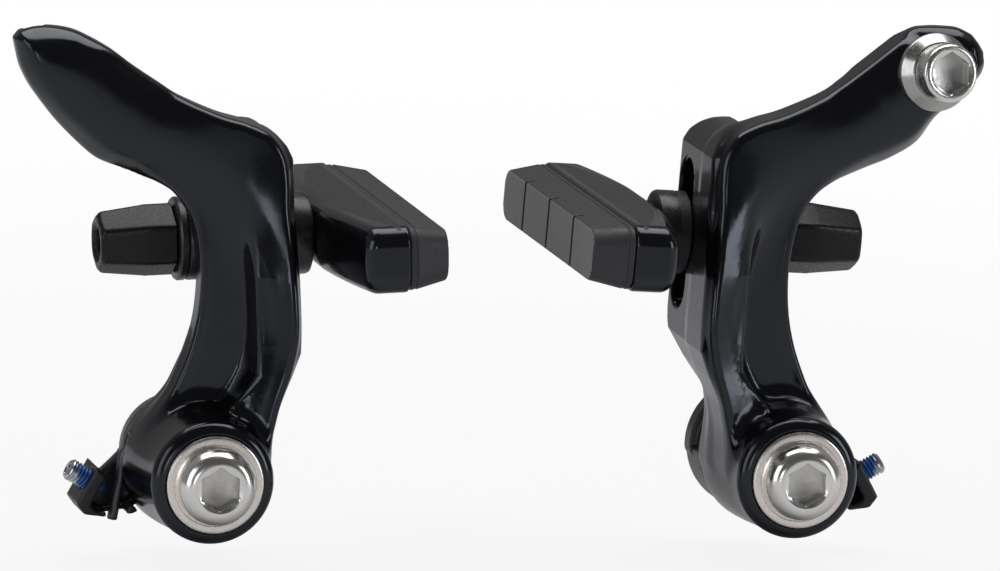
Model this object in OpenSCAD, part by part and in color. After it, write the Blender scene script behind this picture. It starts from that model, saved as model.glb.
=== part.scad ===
// Cantilever brake: a left and a right arm, each on its own pivot.
// Origin midway between the pivots, in the plane of the fork's shoulders.
// +X is the right-hand side seen from the front, the front faces -Y, +Z is up.
// Each arm is drawn for the right-hand side with x growing outward from its pivot,
// and "depth" is the distance in front of the shoulder plane (so y = -depth).

/* [Layout] */
// Distance between the two pivot axes
pivot_spacing = 80; // [74:1:95]
// Height of the middle of the pad slot above the pivot
slot_z = 29.1; // [28:0.1:32]
// Depth of the pad posts in front of the shoulder plane
post_depth = 4.6; // [4.4:0.1:6]
// Outward tilt of each arm at rest, pads clear of the rim
rest_opening = 2.8; // [0:0.2:5]

/* [Arm] */
// Diameter of the pivot boss at its front
boss_d = 16.6; // [15.8:0.1:17]
// Diameter of the pivot boss at its rear
boss_rear_d = 18.4; // [17:0.1:18.8]
// Inward distance from pivot axis to the rim-side face of the slotted plate
plate_face = 13.3; // [12.6:0.1:14]
// Thickness of the slotted plate
plate_t = 5.9; // [5.4:0.1:6.6]
// Height of the slotted plate
plate_h = 32.2; // [30:0.2:35]
// Depth of the plate's rear edge
plate_rear = 0; // [0:0.1:0.6]
// How far the plate's face stands out from the front ridge
plate_step = 0.4; // [0.2:0.1:1]
// Depth of the front edge of the plate's face
plate_front = 19.5; // [18.5:0.5:21]
// Length of the pad slot
slot_len = 20.2; // [17:0.1:21]
// Width of the pad slot
slot_w = 6.6; // [6.5:0.1:7.2]
// Depth of the front ridge beside the slotted plate
ridge_depth = 22.2; // [21:0.1:24]
// How far the ridge slopes back across its width
ridge_slope = 2; // [1:0.1:3]
// Depth of the floor of the scooped panel
scoop_depth = 15.4; // [15:0.1:17]
// Depth of the rear of the web behind that panel
web_rear = 11.2; // [11:0.1:12.5]
// Depth of the front of the upper arm
arm_front = 17.8; // [17:0.1:19]
// Depth of the rear of the upper arm
arm_rear = 9.5; // [8.8:0.1:10.5]
// Angle of the upper arm above the post's axis
arm_angle = 41; // [38:0.5:44]
// Length of the left upper arm from the elbow to its tip
left_reach = 27.3; // [26:0.1:30]
// Length of the right upper arm from the elbow to its tip
right_reach = 26.3; // [25:0.1:29]

/* [Pivot] */
// Length of the bush, from the fork's shoulder to the washer
bush_len = 26; // [25.5:0.1:28]
// Outer diameter of the bush
bush_d = 11; // [10.8:0.1:11.4]
// Diameter of the fork's post that the bush slides over
post_d = 8; // [7.5:0.1:8.2]
// Thread diameter of the pivot bolt
pivot_bolt_d = 6; // [5:0.5:6.5]
// Length of the pivot bolt under its washer
pivot_bolt_len = 16; // [12:1:20]
// Diameter of the domed bolt head
head_d = 10.5; // [9.5:0.1:11.5]
// Height of the domed bolt head
head_h = 3.3; // [2.8:0.1:4]
// Hex key size of the pivot and anchor bolts
key_w = 5; // [4:0.5:5]
// Diameter of the pivot washer
pivot_washer_d = 13.1; // [12:0.1:13.6]
// Thickness of the pivot washer
pivot_washer_t = 1; // [0.8:0.1:1.5]

/* [Return spring] */
// Depth of the spring cap
cap_len = 8; // [7.5:0.1:8.5]
// Outer diameter of the spring cap
cap_d = 17.2; // [16.6:0.1:18.2]
// Diameter over the cap's tab on the rim side
cap_tab_d = 18.4; // [18:0.1:19.5]
// Diameter of the spring wire
wire_d = 1.4; // [1.2:0.1:1.6]
// Number of turns in the spring
turns = 4; // [3:1:4]
// Length of the spring leg that enters the fork
rear_leg = 4; // [2:0.5:6]
// Diameter of the tension screw
screw_d = 3; // [2.5:0.1:3.2]
// Length of the tension screw
screw_len = 6.6; // [6:0.1:9]
// Slope of the tension screw
screw_angle = 29; // [26:1:36]

/* [Pad clamp] */
// Diameter of the dome and cup washers
washer_d = 11.2; // [10.6:0.1:11.4]
// Thickness of the rim-side dome washer at its edge
inner_dome_edge = 1.5; // [1.2:0.1:1.8]
// Thickness of the outer dome washer at its edge
outer_dome_edge = 3.2; // [2.8:0.1:3.5]
// Distance from plate to holder on the rim side
inner_stack = 4.3; // [4.2:0.1:6]
// Distance from plate to the flat washer on the outer side
outer_stack = 6.8; // [6.4:0.1:8]
// Thickness of the flat washer
nut_washer_t = 1.2; // [0.8:0.1:1.6]
// Thread diameter of the pad post
thread_d = 6; // [5.5:0.1:6]
// Length of the pad nut
nut_len = 10.4; // [9:0.1:13]
// Width of the nut across its flats
nut_w = 8.6; // [8:0.1:9]
// Width of the nut's outer end across its flats
nut_end_w = 7.2; // [6.5:0.1:8]
// Hex key size in the end of the nut
nut_key_w = 4; // [3:0.5:4.5]

/* [Brake pad] */
// Length of the pad
pad_len = 53; // [46:0.5:60]
// Length of pad in front of its post
pad_front = 25; // [20:0.5:30]
// Height of the pad at its back
pad_h = 8.5; // [8:0.1:12]
// Height of the pad's braking face
face_h = 6.9; // [5.5:0.1:7.6]
// Thickness of the rubber
pad_t = 5.5; // [4:0.1:7]
// Height of the pad holder
holder_h = 9; // [8.4:0.1:12.5]
// Thickness of the holder in the middle
holder_t = 8.6; // [7.5:0.1:10]
// Thickness of the holder at its ends
holder_end_t = 5.5; // [4.5:0.1:6.5]
// Width of the grooves in the rubber
groove_w = 0.6; // [0.4:0.1:1]
// Depth of the grooves in the rubber
groove_depth = 1.4; // [0.8:0.1:2]

/* [Cable fixings] */
// Distance of the cable anchor from the tip of the right arm
anchor_inset = 7.5; // [6.5:0.1:9]
// Outward and upward tilt of the cable anchor
anchor_tilt = 8; // [0:1:10]
// Diameter of the anchor's cone washer
anchor_washer_d = 10.5; // [9.5:0.1:11.5]
// Height of the cone washer
anchor_washer_h = 2.6; // [2:0.1:3.5]
// Diameter of the anchor bolt's head
anchor_head_d = 7.8; // [7.4:0.1:8.5]
// Height of the anchor bolt's head
anchor_head_h = 3.2; // [2.8:0.1:4]
// Thread diameter of the anchor bolt
anchor_bolt_d = 5; // [4:0.5:6]
// Distance of the cable's seat from the tip of the left arm
nipple_inset = 9.7; // [9:0.1:11]
// Diameter of the seat for the cable's end on the left arm
nipple_d = 6.2; // [5:0.1:6.6]
// Depth of that seat
nipple_len = 4.8; // [4:0.1:5.5]
// Width of the cable slot that leads out of that seat
cable_slot_w = 2; // [1.5:0.1:2.5]
// Turn of that slot from the line of the upper arm
slot_turn = 10; // [0:1:20]

/* [Hidden] */

$fn = 64;
// Clearance of a turning fit, on the radius
running = 0.03;
// Clearance of a loose hole round its bolt, on the radius
loose = 0.1;
// Clearance between the spheres of a dome and its cup
swivel_gap = 0.08;
// Sideways room that the toe-in needs in a dome washer's hole, on the radius
dome_room = 0.8;
// Number of faces that an arc of a prism is drawn with
arc_steps = 8;

boss_r = boss_d / 2;
boss_rear_r = boss_rear_d / 2;
bush_r = bush_d / 2;
cap_r = cap_d / 2;
wire_r = wire_d / 2;
thread_r = thread_d / 2;
washer_r = washer_d / 2;
rim_x = -plate_face;
plate_out_x = rim_x + plate_t;
swivel_x = rim_x + plate_t / 2;
inner_swivel_r = norm([plate_t / 2 + inner_dome_edge, washer_r]);
outer_swivel_r = norm([plate_t / 2 + outer_dome_edge, washer_r]);
plate_top = slot_z + plate_h / 2;
boss_front = bush_len + 0.4;
// The spring's coil lies between the bush and this radius
coil_room_r = bush_r + wire_d + 0.25;
coil_r = bush_r + 0.1 + wire_r;
cap_wall = 0.7;
cap_rear = 0.3;
coil_rear = cap_rear + cap_wall + 0.1 + wire_r;
coil_front = cap_len + 0.2 + wire_r;
spring_pocket = coil_front + wire_r + 0.6;
holder_back_x = rim_x - inner_stack;
holder_front_x = holder_back_x - holder_t;
nut_washer_x = plate_out_x + outer_stack;
nut_x = nut_washer_x + nut_washer_t;
// The elbow's rear stays clear of the washers and the nut
elbow_rear = post_depth + washer_r + 0.6;
ridge_x = rim_x + plate_step;
elbow = [plate_out_x + 9.4, slot_z + 12.9];
leg_touch = [9.4, -4.9];

// Point on a smooth curve through the rows p, at row number s
function curve(p, s) =
    let (
        n = len(p) - 1,
        i = min(floor(s), n - 1),
        f = s - i,
        a = p[max(i - 1, 0)],
        b = p[i],
        c = p[i + 1],
        d = p[min(i + 2, n)]
    )
    0.5 * (2 * b + (c - a) * f + (2 * a - 5 * b + 4 * c - d) * f * f
           + (3 * b - a - 3 * c + d) * f * f * f);

function smooth(u) = let (t = max(0, min(1, u))) t * t * (3 - 2 * t);

// Points of an arc, for outlines
function arc(c, r, a0, a1, steps = arc_steps) =
    [for (i = [0:steps]) let (a = a0 + (a1 - a0) * i / steps) c + r * [cos(a), sin(a)]];

// Outline of a rectangle with rounded corners
function rounded_box(w, h, r) = [
    for (q = [0:3])
        each arc([(q == 0 || q == 3 ? 1 : -1) * (w / 2 - r), (q < 2 ? 1 : -1) * (h / 2 - r)],
                 r, 90 * q, 90 * q + 90)
];

// Places what is drawn for the right-hand side on its own pivot
module on_side(side) {
    translate([side * pivot_spacing / 2, 0, 0])
        mirror([side < 0 ? 1 : 0, 0, 0])
            children();
}

// The same for the arm and what it carries, at its angle of rest
module on_arm(side) {
    on_side(side) rotate([0, rest_opening, 0]) children();
}

// Cylinder along the depth, between two depths
module depth_rod(r, d0, d1) {
    translate([0, -d0, 0]) rotate([90, 0, 0]) cylinder(r = r, h = d1 - d0);
}

// Solid of revolution about the pivot axis, its profile given as radius and depth
module depth_revolve(profile) {
    rotate([90, 0, 0]) rotate_extrude() polygon(profile);
}

// Prism along the depth, its outline given as x and z
module depth_prism(outline, d0, d1) {
    translate([0, -d0, 0]) rotate([90, 0, 0]) linear_extrude(height = d1 - d0) polygon(outline);
}

// Prism along x, its outline given as y and z
module side_prism(outline, x0, x1) {
    translate([x0, 0, 0]) rotate([90, 0, 90]) linear_extrude(height = x1 - x0) polygon(outline);
}

// Moves to the middle of the pad slot, with the post's axis along x
module at_post() {
    translate([0, -post_depth, slot_z]) children();
}

module post_rod(r, x0, x1) {
    translate([x0, 0, 0]) rotate([0, 90, 0]) cylinder(r = r, h = x1 - x0);
}

module post_revolve(profile) {
    rotate([0, 90, 0]) rotate_extrude() polygon(profile);
}

module hex_rod(w, h) {
    cylinder(r = w / sqrt(3), h = h, $fn = 6);
}

// Arm

// Rows of the column from the boss up to the elbow:
// inner x and z, outer x and z, front depth, rear depth, share of the front ridge in the width
column_rows = [
    [-boss_r + 0.3, 1, boss_r - 1.8, 1, ridge_depth - 0.7, 12, 0.28],
    [-boss_r - 0.7, 4.6, boss_r - 2.7, 4.6, ridge_depth - 0.2, 12, 0.28],
    [-boss_r - 1.9, 9, 4.4, 8.4, ridge_depth, 12, 0.28],
    [ridge_x + 1.1, 13.5, 2.6, 11.9, ridge_depth, web_rear + 0.5, 0.28],
    [ridge_x + 0.1, slot_z - 11.1, 0.7, slot_z - 12.7, ridge_depth, web_rear, 0.28],
    [ridge_x, slot_z - 6.3, -0.5, slot_z - 7.8, ridge_depth, web_rear, 0.28],
    [ridge_x + 0.3, slot_z + 0.1, -0.9, slot_z - 2.1, ridge_depth - 0.8, web_rear, 0.34],
    [ridge_x + 0.6, slot_z + 5.4, -0.2, slot_z + 3.3, arm_front + 2, web_rear, 0.44],
    [ridge_x + 0.5, slot_z + 9.4, 0.9, slot_z + 6.1, arm_front + 0.8, web_rear, 0.57],
    [ridge_x + 0.9, slot_z + 12.7, 2.6, slot_z + 8.2, arm_front + 0.2, web_rear - 0.2, 0.75],
    [ridge_x + 2.5, slot_z + 15.5, 4.6, slot_z + 9.5, arm_front, elbow_rear, 1],
    [ridge_x + 5.5, slot_z + 17.2, 6.3, slot_z + 10.2, arm_front, elbow_rear, 1],
    [ridge_x + 9.3, slot_z + 18.5, 8.1, slot_z + 10.9, arm_front, elbow_rear, 1]
];

// Row of the upper arm: distance along it, its top and lower edge above its axis,
// and how far its front and rear draw in
function upper_row(along, top, low, draw) =
    let (
        p = elbow + along * [cos(arm_angle), sin(arm_angle)],
        n = [-sin(arm_angle), cos(arm_angle)],
        rear = elbow_rear + (arm_rear - elbow_rear) * smooth(along / 12)
    )
    [each (p + top * n), each (p + low * n), arm_front - draw, rear + draw, 1];

left_rows = [
    for (row = [
        [4.6, 6.5, -5.9, 0], [8, 6.1, -6.9, 0], [12, 5.7, -6.8, 0],
        [left_reach - 11.3, 5.5, -6.3, 0], [left_reach - 7.3, 4.8, -5.4, 0],
        [left_reach - 5.3, 4.2, -4.8, 0.1], [left_reach - 3.1, 3, -3.8, 0.3],
        [left_reach - 1.3, 1.5, -2.5, 0.7], [left_reach, -0.2, -1.5, 1.4]
    ])
        upper_row(row[0], row[1], row[2], row[3])
];

right_rows = [
    for (row = [
        [4.6, 6.5, -5.9, 0], [8, 6.1, -6.9, 0], [12, 6, -7.3, 0],
        [right_reach - 10.3, 6, -6, 0], [right_reach - 6.3, 5.9, -5.5, 0],
        [right_reach - 4.3, 4.9, -5.3, 0.1], [right_reach - 2.3, 3.3, -5, 0.3],
        [right_reach - 0.9, 1.9, -4.2, 0.7], [right_reach, 0.2, -2.8, 1.4]
    ])
        upper_row(row[0], row[1], row[2], row[3])
];

// How full the edges of a section are: higher is squarer
edge_power = 4;
// Share of the width over which the ridge falls to the panel
fall_share = 0.38;
section_steps = 11;
row_steps = 3;

function edge(u) = pow(max(0, 1 - pow(abs(2 * u - 1), edge_power)), 1 / edge_power);

// Depth of the front before its edges are rounded
function scooped(row, u) =
    let (ridge = row[4] - (row[6] < 1 ? ridge_slope * min(1, u / row[6]) * (1 - row[6]) : 0))
    ridge + smooth((u - row[6]) / fall_share) * (scoop_depth - ridge);

function front_depth(row, u) =
    let (front = scooped(row, u), middle = (front + row[5]) / 2)
    middle + (front - middle) * edge(u);

function rear_depth(row, u) =
    let (middle = (scooped(row, u) + row[5]) / 2) middle + (row[5] - middle) * edge(u);

function section(row) =
    let (
        inner = [row[0], row[1]],
        outer = [row[2], row[3]],
        us = [for (k = [0:section_steps]) (1 - cos(180 * k / section_steps)) / 2]
    )
    [
        for (u = us) let (p = inner + (outer - inner) * u) [p[0], -front_depth(row, u), p[1]],
        for (k = [section_steps - 1:-1:1])
            let (p = inner + (outer - inner) * us[k]) [p[0], -rear_depth(row, us[k]), p[1]]
    ];

// Solid through a list of rings with the same number of points
module loft(rings) {
    n = len(rings[0]);
    last = len(rings) - 1;
    polyhedron(
        points = [for (ring = rings) each ring],
        faces = [
            [for (j = [0:n - 1]) j],
            [for (j = [n - 1:-1:0]) last * n + j],
            for (i = [0:last - 1])
                for (j = [0:n - 1])
                    let (a = i * n + j, b = i * n + (j + 1) % n)
                        each [[b, a, a + n], [b, a + n, b + n]]
        ]
    );
}

module arm_loft(tip_rows) {
    rows = concat(column_rows, tip_rows);
    count = (len(rows) - 1) * row_steps;
    loft([for (i = [0:count]) section(curve(rows, i / row_steps))]);
}

// Slotted plate on the rim side: its face from the front cut by its face from the side
module plate() {
    corner = 4.5;
    front_corner = 5;
    foot = slot_z - plate_h / 2;
    front_y = -plate_front;
    rear_y = -plate_rear;
    boss_y = -cap_len - 0.4;
    intersection() {
        depth_prism([
            [plate_out_x, 13], [-4, 9], [-4, -2], [-6, -2], [-boss_r - 0.1, 4.6], [-boss_r - 1.2, 9],
            [rim_x + 1.6, foot - 0.6], [rim_x, foot + 2.6],
            [rim_x, plate_top - 4], [rim_x + 0.7, plate_top - 2.4], [rim_x + 1.8, plate_top - 1.2],
            [rim_x + 3.1, plate_top - 0.3], [rim_x + 4.3, plate_top + 0.1], [plate_out_x, plate_top + 0.2]
        ], plate_rear - 1, ridge_depth);
        side_prism(concat(
            [[-ridge_depth + 2, -1], [boss_y, -1], [boss_y, foot - 5]],
            arc([rear_y - 5, foot + 5.6], 5, -50, 0, 5),
            arc([rear_y - corner, plate_top - corner], corner, 0, 90),
            arc([front_y + front_corner, plate_top - front_corner], front_corner, 90, 180),
            [[front_y, foot + 4], [-ridge_depth + 2, foot - 3]]
        ), rim_x - 1, -3);
    }
}

// Swell at the rear where the column runs out into the boss
module foot() {
    depth_prism([
        [-boss_r, 0], [5.4, 5.4], [3.8, 8.6], [2.2, 11.8], [0.6, 15], [-0.6, 17.4],
        [plate_out_x, 18.6], [plate_out_x - 2, 14]
    ], cap_len + 0.4, 14);
}

module slot_hole() {
    reach = (slot_len - slot_w) / 2;
    x0 = rim_x - 1;
    x1 = plate_out_x + 2;
    at_post() {
        for (z = [-reach, reach]) translate([0, 0, z]) post_rod(slot_w / 2, x0, x1);
        translate([x0, -slot_w / 2, -reach]) cube([x1 - x0, slot_w, 2 * reach]);
    }
}

// Flat ground round the slot for the dome washers, on the outer side of the plate
module washer_clearance() {
    room = 0.5;
    r = washer_r + room;
    reach = (slot_len - slot_w) / 2;
    x1 = 14;
    at_post() {
        for (z = [-reach, reach]) translate([0, 0, z]) post_rod(r, plate_out_x, x1);
        translate([plate_out_x, -r, -reach]) cube([x1 - plate_out_x, 2 * r, 2 * reach]);
    }
}

module boss() {
    depth_revolve(concat(
        [[bush_r + running, cap_len], [boss_rear_r, cap_len]],
        arc([boss_r - 1.4, boss_front - 1.4], 1.4, 0, 90, 5),
        [[bush_r + running, boss_front]]
    ));
}

module pivot_holes() {
    front_recess = 0.55;
    depth_rod(bush_r + running, -1, boss_front + 3);
    depth_rod(coil_room_r, -1, spring_pocket);
    depth_rod(pivot_washer_d / 2 + 0.25, boss_front - front_recess, boss_front + 3);
}

// Window in the rear of the boss through which the spring's leg comes out
module leg_window() {
    depth_sector(bush_r + wire_r, boss_rear_r + 3, cap_len - 1, spring_pocket + 0.4, -34, 26);
}

module arm_body(tip_rows) {
    difference() {
        union() {
            arm_loft(tip_rows);
            plate();
            boss();
            foot();
        }
        pivot_holes();
        leg_window();
        slot_hole();
        washer_clearance();
    }
}

// Point on the upper arm, along its axis and off it
function upper_point(along, off) =
    elbow + along * [cos(arm_angle), sin(arm_angle)] + off * [-sin(arm_angle), cos(arm_angle)];

// Round seat for the end of the straddle cable, sunk in the rear of the left tip
module nipple_seat() {
    seat = upper_point(left_reach - nipple_inset, -0.2);
    floor_depth = arm_rear + nipple_len;
    slot_floor = floor_depth - 1.2;
    slot_reach = 16;
    translate([seat[0], 0, seat[1]]) {
        depth_rod(nipple_d / 2, 0, floor_depth);
        depth_rod(nipple_d / 2 + 1.2, 0, arm_rear + 0.25);
        rotate([0, -slot_turn - arm_angle, 0])
            translate([0, -slot_floor, -cable_slot_w / 2])
                cube([slot_reach, slot_floor, cable_slot_w]);
    }
}

module left_arm() {
    color([0.05, 0.05, 0.06])
        on_arm(-1)
            difference() {
                arm_body(left_rows);
                nipple_seat();
            }
}

anchor_offset = 0.2;
anchor_at = upper_point(right_reach - anchor_inset, anchor_offset);
anchor_seat = arm_front - 0.8;
// Radius of the recess round the anchor's washer, and how far the bolt's hole runs behind it
anchor_recess_r = anchor_washer_d / 2 + 0.6;
anchor_hole_len = arm_front - arm_rear + 4;

// Moves to the cable anchor: z runs out of the arm along the bolt
module at_anchor() {
    translate([anchor_at[0], -anchor_seat, anchor_at[1]])
        rotate([90 - anchor_tilt, 0, anchor_tilt])
            children();
}

module right_arm() {
    color([0.05, 0.05, 0.06])
        on_arm(1)
            difference() {
                arm_body(right_rows);
                at_anchor() {
                    cylinder(r = anchor_recess_r, h = anchor_hole_len);
                    translate([0, 0, -anchor_hole_len])
                        cylinder(r = anchor_bolt_d / 2 + loose, h = anchor_hole_len + 1);
                }
            }
}

// Cable anchor

module cable_anchor_washer() {
    r = anchor_washer_d / 2;
    hole = anchor_bolt_d / 2 + loose;
    color([0.72, 0.70, 0.67])
        on_arm(1)
            at_anchor()
                rotate_extrude()
                    polygon([
                        [hole, 0], [r - 0.3, 0], [r, 0.3], [r, 1.0],
                        [anchor_head_d / 2 + 0.3, anchor_washer_h], [hole, anchor_washer_h]
                    ]);
}

module cable_anchor_bolt() {
    r = anchor_head_d / 2;
    bolt_len = 9;
    rim = 0.45;
    color([0.72, 0.70, 0.67])
        on_arm(1)
            at_anchor()
                difference() {
                    union() {
                        translate([0, 0, -bolt_len])
                            cylinder(r = anchor_bolt_d / 2, h = bolt_len + anchor_washer_h + 1);
                        translate([0, 0, anchor_washer_h])
                            rotate_extrude()
                                polygon([
                                    [0, 0], [r, 0], [r, anchor_head_h - rim],
                                    [r - rim, anchor_head_h], [0, anchor_head_h]
                                ]);
                    }
                    translate([0, 0, anchor_washer_h + anchor_head_h - 2.4]) hex_rod(key_w, 4);
                }
}

// Pivot

module pivot_bush(side) {
    color([0.78, 0.76, 0.72])
        on_side(side)
            depth_revolve([
                [post_d / 2 + 0.05, 0], [bush_r, 0], [bush_r, bush_len],
                [post_d / 2 + 0.05, bush_len]
            ]);
}

// The bolt is thicker where it passes through its washer
neck_r = pivot_bolt_d / 2 + 0.4;

module pivot_washer(side) {
    r = pivot_washer_d / 2;
    bevel = 0.2;
    hole = neck_r + loose;
    front = bush_len + pivot_washer_t;
    color([0.78, 0.76, 0.72])
        on_side(side)
            depth_revolve([
                [hole, bush_len], [r, bush_len], [r, front - bevel], [r - bevel, front], [hole, front]
            ]);
}

// Domed head with a hex socket, its shank running back into the bush
module pivot_bolt(side) {
    r = head_d / 2;
    seat = bush_len + pivot_washer_t;
    skirt = 0.6;
    flat_r = key_w / 2 + 0.8;
    rise = head_h - skirt;
    socket = 2.3;
    color([0.74, 0.72, 0.69])
        on_side(side)
            difference() {
                depth_revolve(concat(
                    [[0, bush_len - pivot_bolt_len]],
                    [[pivot_bolt_d / 2, bush_len - pivot_bolt_len]],
                    [[pivot_bolt_d / 2, bush_len], [neck_r, bush_len], [neck_r, seat], [r, seat]],
                    [
                        for (i = [0:arc_steps])
                            let (u = i / arc_steps, a = 90 * u)
                                [r - (r - flat_r) * (1 - cos(a)), seat + skirt + rise * sin(a)]
                    ],
                    [[0, seat + head_h]]
                ));
                translate([0, -(seat + head_h - socket), 0]) rotate([90, 0, 0]) hex_rod(key_w, 4);
                depth_revolve([
                    [0, seat + head_h - 0.4], [key_w / 2 + 0.1, seat + head_h - 0.4],
                    [key_w / 2 + 0.6, seat + head_h + 0.1], [0, seat + head_h + 0.1]
                ]);
            }
}

// Return spring

// Route of the wire: a leg along the pivot, the coil, and a leg that runs out and down
full_turn = 360;
coil_start = -full_turn * turns;
ring_sides = 8;
coil_steps = 17;

function coil_point(a) =
    let (f = (a - coil_start) / (-coil_start))
    [coil_r * cos(a), -(coil_rear + (coil_front - coil_rear) * f), coil_r * sin(a)];

rear_points = [
    for (y = [rear_leg, rear_leg / 2, 0, -coil_rear + 1.1, -coil_rear + 0.4])
        let (a = coil_start - 14) [coil_r * cos(a), y, coil_r * sin(a)]
];
coil_points = [
    for (i = [0:turns * coil_steps]) coil_point(coil_start * (1 - i / (turns * coil_steps)))
];
front_points = [
    for (p = [
        [coil_r + 0.25, 0.95], [coil_r + 1.1, 1.5], [coil_r + 2.1, 1.0],
        [leg_touch[0] - 0.6, -0.8], [leg_touch[0] - 0.4, -2.6], leg_touch, leg_touch + [0.5, -3.1]
    ])
        [p[0], -coil_front, p[1]]
];

function unit(v) = v / norm(v);

// Rings of a wire that follows the points; out_from is where it leaves the coil
function wire_rings(p, r, out_from) =
    [
        for (i = [0:len(p) - 1])
            let (
                t = unit(p[min(i + 1, len(p) - 1)] - p[max(i - 1, 0)]),
                radial = unit([p[i][0], 0, p[i][2]]),
                n = i < out_from ? unit(radial - (radial * t) * t) : unit(cross([0, -1, 0], t)),
                b = cross(t, n)
            )
            [for (k = [0:ring_sides - 1])
                let (a = 360 * k / ring_sides) p[i] + r * (cos(a) * n + sin(a) * b)]
    ];

module return_spring(side) {
    route = concat(rear_points, coil_points, front_points);
    color([0.30, 0.31, 0.33])
        on_side(side)
            loft(wire_rings(route, wire_r, len(rear_points) + len(coil_points)));
}

screw_dir = [cos(screw_angle), sin(screw_angle)];
tip_gap = 0.45;
lug_wall = 1.8;
lug_outer = leg_touch + 4.9 * screw_dir;

// Moves to the tip of the tension screw: z runs out along the screw
module at_screw() {
    tip = leg_touch + (wire_r + tip_gap) * screw_dir;
    translate([tip[0], -coil_front, tip[1]])
        rotate([0, 90 - screw_angle, 0])
            children();
}

// Lug of the cap that carries the tension screw: a rear plate, an outer wall and a floor,
// with a notch in the floor for the spring's leg
module lug() {
    across = [-screw_dir[1], screw_dir[0]];
    rear = 4.4;
    front = coil_front + screw_d / 2 + 1.2;
    outer_top = lug_outer + 2.2 * across;
    outer_low = lug_outer - 3.4 * across;
    inner_top = outer_top - lug_wall * screw_dir;
    inner_low = outer_low - lug_wall * screw_dir + 0.8 * across;
    floor_low = [11, -7.4];
    difference() {
        depth_prism([
            [cap_r - 1, 1.4], [cap_r + 0.9, -0.6], inner_top + [0, -0.6], outer_top, outer_low,
            outer_low + [-1.1, -1.5], floor_low, floor_low + [-3.4, 0.5], [cap_r - 3.2, -5.8]
        ], rear, front);
        depth_prism([
            [cap_r - 2, 3], inner_top + [-0.2, 2], inner_top, inner_low,
            inner_low + [-1.1, -1], floor_low + [-1.4, 0.9], floor_low + [-3.2, 1.4], [0, 0]
        ], rear + 1.8, front + 1);
        depth_prism([
            [leg_touch[0] - 1.2, -4], [leg_touch[0] + 1.8, -5],
            [leg_touch[0] + 1.9, -9], [leg_touch[0] - 0.8, -9]
        ], coil_front - wire_r - 0.15, front + 1);
        depth_rod(boss_rear_r + 0.3, cap_len, front + 1);
        depth_rod(cap_r - 0.8, 0, cap_len);
        at_screw() cylinder(r = screw_d / 2 + running, h = screw_len);
    }
}

// Ring sector about the pivot axis, between two radii, two depths and two angles
module depth_sector(r0, r1, d0, d1, a0, a1) {
    rotate([90, 0, 0])
        translate([0, 0, d0])
            rotate([0, 0, a0])
                rotate_extrude(angle = a1 - a0)
                    translate([r0, 0]) square([r1 - r0, d1 - d0]);
}

// Cap that holds the spring, with a slot for the leg that enters the fork
module spring_cap(side) {
    leg_a = coil_start - 14;
    swing = 40;
    tab_depth = 3.6;
    color([0.09, 0.09, 0.09])
        on_side(side)
            difference() {
                union() {
                    depth_revolve([
                        [bush_r + running, cap_rear], [coil_room_r + 0.3, cap_rear],
                        [cap_r - 0.5, cap_len * 0.45], [cap_r, cap_len * 0.75],
                        [cap_r, cap_len], [coil_room_r, cap_len], [coil_room_r, cap_rear + cap_wall],
                        [bush_r + running, cap_rear + cap_wall]
                    ]);
                    depth_sector(coil_room_r, cap_tab_d / 2, cap_rear, tab_depth, 95, 185);
                    depth_sector(coil_room_r, cap_tab_d / 2 - 0.3, cap_rear, cap_len, 180, 232);
                    lug();
                }
                depth_sector(coil_r - wire_r - 0.1, coil_r + wire_r + 0.1, -1, cap_rear + cap_wall + 0.5,
                             leg_a - 20, leg_a + swing);
            }
}

module tension_screw(side) {
    r = screw_d / 2;
    bevel = 0.35;
    point = 0.9;
    color([0.62, 0.62, 0.62])
        on_side(side)
            at_screw()
                difference() {
                    rotate_extrude()
                        polygon([
                            [0, 0], [r - point, 0], [r, point], [r, screw_len - bevel],
                            [r - bevel, screw_len], [0, screw_len]
                        ]);
                    translate([0, 0, screw_len - 2]) hex_rod(1.5, 3);
                }
}

// Pad clamp

// Draws from the middle of the plate outward along the post; dir is -1 towards the rim
module from_plate(side, dir) {
    on_arm(side) at_post() translate([swivel_x, 0, 0]) mirror([dir < 0 ? 1 : 0, 0, 0]) children();
}

module dome_washer(side, dir) {
    r = dir < 0 ? inner_swivel_r : outer_swivel_r;
    hole = thread_r + dome_room;
    edge_a = acos(washer_r / r);
    hole_a = acos(hole / r);
    color([0.08, 0.08, 0.08])
        from_plate(side, dir)
            post_revolve(concat(
                [[hole, plate_t / 2], [washer_r, plate_t / 2]], arc([0, 0], r, edge_a, hole_a, 6)
            ));
}

// Cup washer, its hollow concentric with the dome, its flat back this far from the plate
module cup_washer(side, dir, stack) {
    r = (dir < 0 ? inner_swivel_r : outer_swivel_r) + swivel_gap;
    hole = thread_r + loose;
    back = plate_t / 2 + stack;
    bevel = 0.4;
    color([0.08, 0.08, 0.08])
        from_plate(side, dir)
            post_revolve(concat(
                arc([0, 0], r, acos(hole / r), acos(washer_r / r), 6),
                [[washer_r, back - bevel], [washer_r - bevel, back], [hole, back]]
            ));
}

module nut_washer(side) {
    color([0.08, 0.08, 0.08])
        on_arm(side)
            at_post()
                difference() {
                    post_rod(washer_r, nut_washer_x, nut_x);
                    post_rod(thread_r + loose, nut_washer_x - 1, nut_x + 1);
                }
}

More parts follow.
